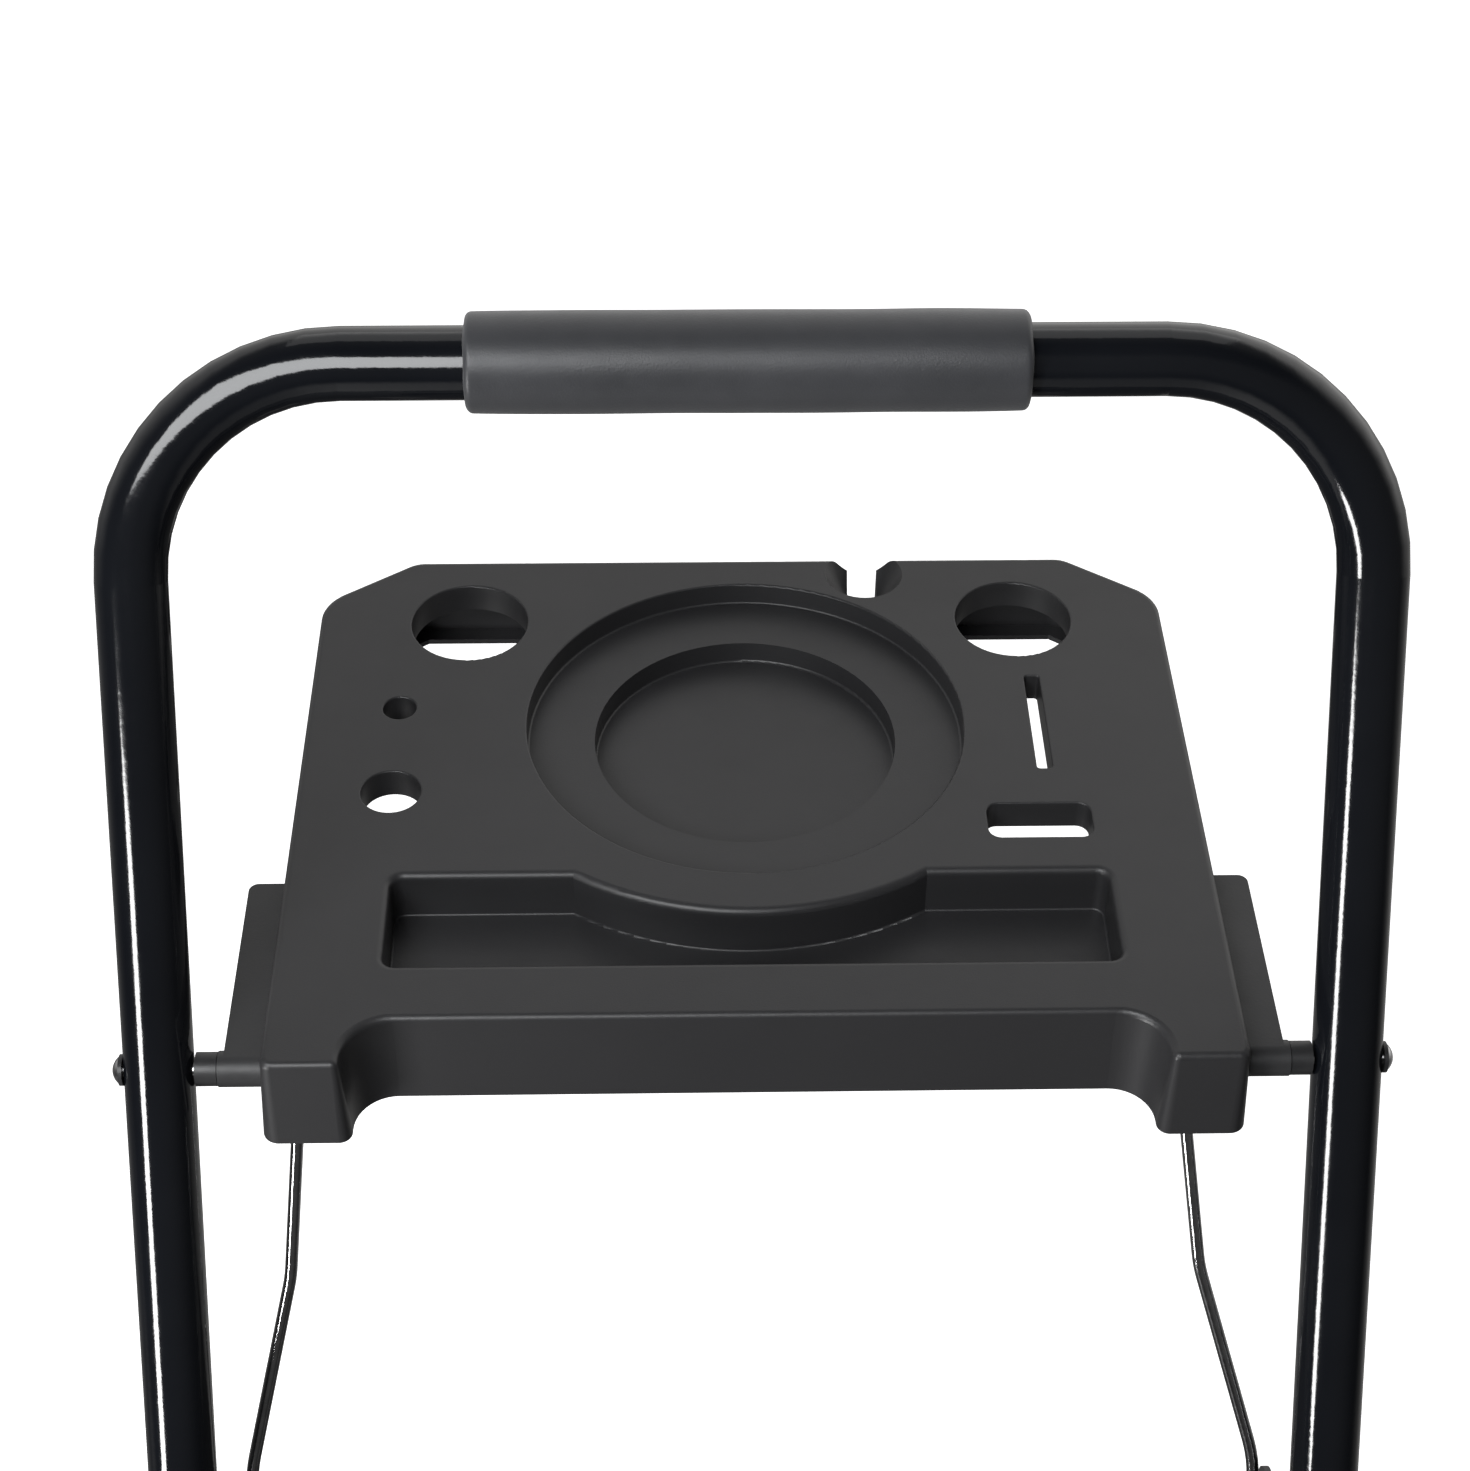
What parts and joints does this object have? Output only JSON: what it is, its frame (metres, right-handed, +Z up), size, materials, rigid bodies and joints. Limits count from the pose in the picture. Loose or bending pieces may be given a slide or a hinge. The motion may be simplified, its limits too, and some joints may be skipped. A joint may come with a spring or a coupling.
{
  "type": "folding step ladder",
  "caption": "Folding steel step ladder with a padded handrail hoop and a hinged plastic tool tray that folds with the platform.",
  "frame": {"origin": "centre of the footprint, on the floor", "axes": "+Z up, +X across the width, -Y the side that is climbed, +Y the tray and rear legs"},
  "size_m": [0.4918, 0.828, 1.2827],
  "materials": {
    "black_gloss": "gloss black powder coat",
    "foam": "matte closed-cell foam",
    "black_satin": "satin black",
    "step_paint": "satin black",
    "mat_rubber": "matte ribbed",
    "foot_rubber": "matte",
    "tray_plastic": "fine moulded grain, charcoal",
    "black_plastic": "satin",
    "bright_steel": "bright zinc",
    "wire_steel": "bright zinc"
  },
  "bodies": {
    "front_frame": {"front_hoop_frame": "black_gloss", "foam_grip": "foam", "front_foot_left": "foot_rubber", "front_foot_right": "foot_rubber", "step_lower": "step_paint", "step_upper": "step_paint", "step_lower_mat": "mat_rubber", "step_upper_mat": "mat_rubber", "step_rivets": "bright_steel", "hinge_bracket_left": "black_satin", "hinge_bracket_right": "black_satin", "bracket_rivets": "bright_steel", "rear_pivot_rivets": "bright_steel", "rear_pivot_washers": "black_plastic", "platform_pivot_bolts": "bright_steel", "platform_pivot_nuts": "bright_steel", "platform_pivot_washers": "bright_steel", "platform_collar_left": "black_plastic", "platform_collar_right": "black_plastic", "tray_pivot_bolts": "bright_steel", "tray_pivot_washers": "black_plastic", "tray_pivot_nuts": "bright_steel", "tray_collar_left": "black_plastic", "tray_collar_right": "black_plastic"},
    "rear_frame": {"rear_leg_left": "black_gloss", "rear_leg_right": "black_gloss", "rear_platform_tube": "black_gloss", "rear_middle_bar": "black_gloss", "rear_lower_bar": "black_gloss", "rear_foot_left": "foot_rubber", "rear_foot_right": "foot_rubber", "rear_leg_plugs": "black_plastic"},
    "platform": {"platform_pan": "step_paint", "platform_mat": "mat_rubber", "platform_hinge_plate_left": "black_satin", "platform_hinge_plate_right": "black_satin", "platform_rivets": "bright_steel"},
    "tray": {"tool_tray": "tray_plastic", "tray_bracket_left": "black_satin", "tray_bracket_right": "black_satin", "tray_screws": "bright_steel"},
    "link_left": {"link_wire_left": "wire_steel", "link_clips_left": "wire_steel"},
    "link_right": {"link_wire_right": "wire_steel", "link_clips_right": "wire_steel"}
  },
  "joints": [
    {"name": "platform_fold", "type": "hinge", "parent": "front_frame", "child": "platform", "pos_m": [0, -0.04593, 0.687], "axis": [1, 0, 0], "range_deg": [0, 55]},
    {"name": "rear_frame_fold", "type": "hinge", "parent": "front_frame", "child": "rear_frame", "pos_m": [0, 0.06014, 0.81842], "axis": [1, 0, 0], "range_deg": [-44.6, 0]},
    {"name": "tray_fold", "type": "hinge", "parent": "front_frame", "child": "tray", "pos_m": [0, 0.12422, 1.02678], "axis": [1, 0, 0], "range_deg": [0, 55]},
    {"name": "link_left_turn", "type": "hinge", "parent": "tray", "child": "link_left", "pos_m": [-0.17, 0.13682, 1.00278], "axis": [1, 0, 0], "range_deg": [-55, 0]},
    {"name": "link_right_turn", "type": "hinge", "parent": "tray", "child": "link_right", "pos_m": [0.16, 0.13682, 1.00278], "axis": [1, 0, 0], "range_deg": [-55, 0]}
  ],
  "couplings": [
    {"joint": "rear_frame_fold", "follows": "platform_fold", "ratio": -0.81091},
    {"joint": "tray_fold", "follows": "platform_fold", "ratio": 1},
    {"joint": "link_left_turn", "follows": "platform_fold", "ratio": -1},
    {"joint": "link_right_turn", "follows": "platform_fold", "ratio": -1}
  ]
}
